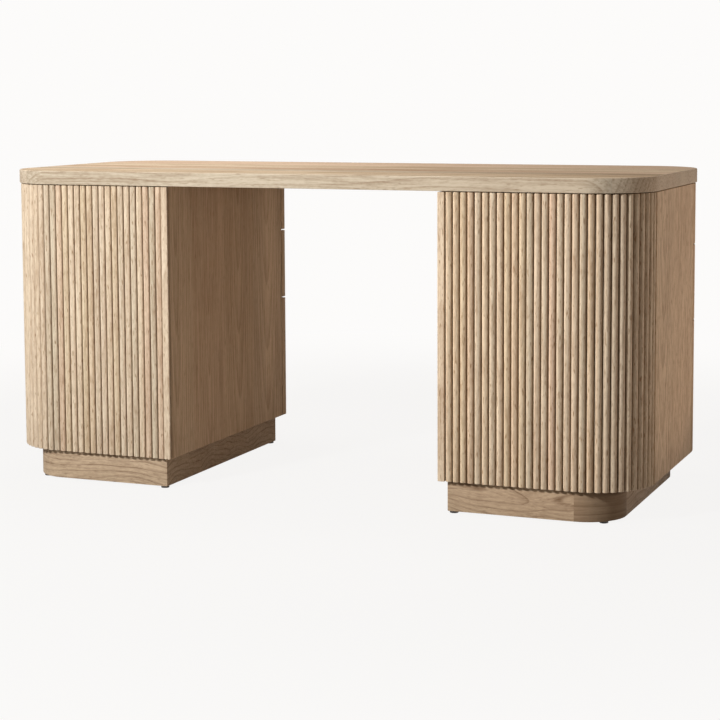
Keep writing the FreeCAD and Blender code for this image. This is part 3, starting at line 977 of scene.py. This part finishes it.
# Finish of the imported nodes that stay

def finish_nodes():
    """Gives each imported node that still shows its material."""
    for name, node in frame["nodes"].items():
        if "slide" in name or "screws" in name:
            material = zinc_steel
        # The reed backing takes the dark groove material, painted shade in the grooves.
        elif "reed_backing" in name:
            material = groove_painted_shade
        elif "drawer_bottom" in name:
            material = base_birch
        else:
            material = case_oak
        node.data.materials.clear()
        node.data.materials.append(material)


finish_nodes()


# Room, light and camera

white = (1.0, 1.0, 1.0)
cool_white = (0.93, 0.98, 1.0)
warm_white = (1.0, 0.86, 0.75)
amber = (1.0, 0.81, 0.66)
backdrop = (0.975, 0.965, 0.955, 1.0)
floor_grey = (0.45, 0.44, 0.43, 1.0)
room_tint = (1.0, 0.83, 0.66, 1.0)
room_strength = 0.18


def floor():
    """Pale plain floor that keeps the desk's shadow, lightened where the camera sees it."""
    reach, near, far, near_share = 14.0, 1.1, 2.7, 0.92
    corner = np.array([[-1, -1, 0], [1, -1, 0], [1, 1, 0], [-1, 1, 0]]) * reach
    mesh = bpy.data.meshes.new("floor")
    mesh.from_pydata(corner.tolist(), [], [(0, 1, 2, 3)])
    plane = bpy.data.objects.new("floor", mesh)
    bpy.context.scene.collection.objects.link(plane)
    material, n, _ = new_material("pale_floor")
    n.tree.nodes.clear()
    diffuse = n.add("ShaderNodeBsdfDiffuse", {"Color": floor_grey})
    glow = n.add("ShaderNodeEmission", {"Color": backdrop, "Strength": 1.0})
    away = n.add("ShaderNodeVectorMath", {0: n.object_place()}, operation="LENGTH").outputs["Value"]
    share = n.math("MULTIPLY", n.seen(), n.smooth(away, near, far, near_share, 1.0))
    mixed = n.add("ShaderNodeMixShader", {0: share, 1: diffuse.outputs[0], 2: glow.outputs[0]})
    n.add("ShaderNodeOutputMaterial", {"Surface": mixed.outputs[0]})
    mesh.materials.append(material)


def world():
    """Soft even light, with a warm white background where the camera looks past the desk."""
    room = bpy.data.worlds.new("studio")
    bpy.context.scene.world = room
    room.use_nodes = True
    n = Nodes(room.node_tree)
    n.tree.nodes.clear()
    soft = n.add("ShaderNodeBackground", {"Color": room_tint, "Strength": room_strength})
    shown = n.add("ShaderNodeBackground", {"Color": backdrop, "Strength": 1.0})
    mixed = n.add("ShaderNodeMixShader", {0: n.seen(), 1: soft.outputs[0], 2: shown.outputs[0]})
    n.add("ShaderNodeOutputWorld", {"Surface": mixed.outputs[0]})


def stand(name, data, place, across, up, toward):
    """Object for a lamp or the camera at a place, turned by its three directions."""
    holder = bpy.data.objects.new(name, data)
    bpy.context.scene.collection.objects.link(holder)
    placed = np.eye(4)
    placed[:3, :3] = np.column_stack([across, up, -toward])
    placed[:3, 3] = place
    holder.matrix_world = Matrix(placed.tolist())
    return holder


def lamp(name, kind, place, target, watts, color, **settings):
    """Soft light at a place, turned to a target."""
    data = bpy.data.lights.new(name, kind)
    data.energy = watts
    data.color = color
    for label, value in settings.items():
        setattr(data, label, value)
    toward = np.array(target) - np.array(place)
    toward = toward / np.linalg.norm(toward)
    across = np.cross(toward, (0, 0, 1))
    across /= np.linalg.norm(across)
    stand(name, data, place, across, np.cross(across, toward), toward)


def spot(name, place, target, watts, color, radius, degrees, blend):
    """Lamp with a round beam: the radius softens its shadows, and blend the beam's edge."""
    lamp(name, "SPOT", place, target, watts, color, shadow_soft_size=radius,
         spot_size=math.radians(degrees), spot_blend=blend)


def camera():
    """Camera at the photograph's place: turned from +Y, tipped down and rolled a little."""
    turn, tip, roll = np.radians([22.1992, 5.2731, -0.2787])
    look = np.array([-math.sin(turn) * math.cos(tip), math.cos(turn) * math.cos(tip),
                     -math.sin(tip)])
    right = np.array([math.cos(turn), math.sin(turn), 0])
    up = np.cross(right, look)
    rolled_right = right * math.cos(roll) + up * math.sin(roll)
    rolled_up = up * math.cos(roll) - right * math.sin(roll)
    data = bpy.data.cameras.new("camera")
    data.sensor_width = 36.0
    data.lens = 91.292
    data.shift_y = -0.1389
    place = (1.7092, -4.1472, 0.9496)
    bpy.context.scene.camera = stand("camera", data, place, rolled_right, rolled_up, look)


floor()
world()
lamp("key", "AREA", (-1.25, -3.0, 1.85), (0.05, 0.0, 0.4), 116.0, cool_white, size=0.3)
spot("cross", (-2.6, -2.15, 1.2), (0.8, -0.565, 0.4), 182.0, amber, radius=0.2, degrees=20,
     blend=0.35)
spot("kneehole", (1.3, -2.6, 0.9), (-0.4, -0.2, 0.4), 26.0, white, radius=0.2, degrees=20,
     blend=0.6)
lamp("over", "AREA", (-0.65, 0.3, 2.25), (-0.3, 0.0, 0.7), 19.5, white, size=0.8)
spot("side", (2.3, 0.65, 0.48), (0.8, 0.0, 0.48), 38.0, warm_white, radius=0.12, degrees=31,
     blend=0.25)
lamp("rear", "AREA", (-1.0, 3.4, 0.6), (0.0, 0.3, 0.4), 28.0, white, size=1.2)
camera()
bpy.context.scene.view_settings.view_transform = "Standard"
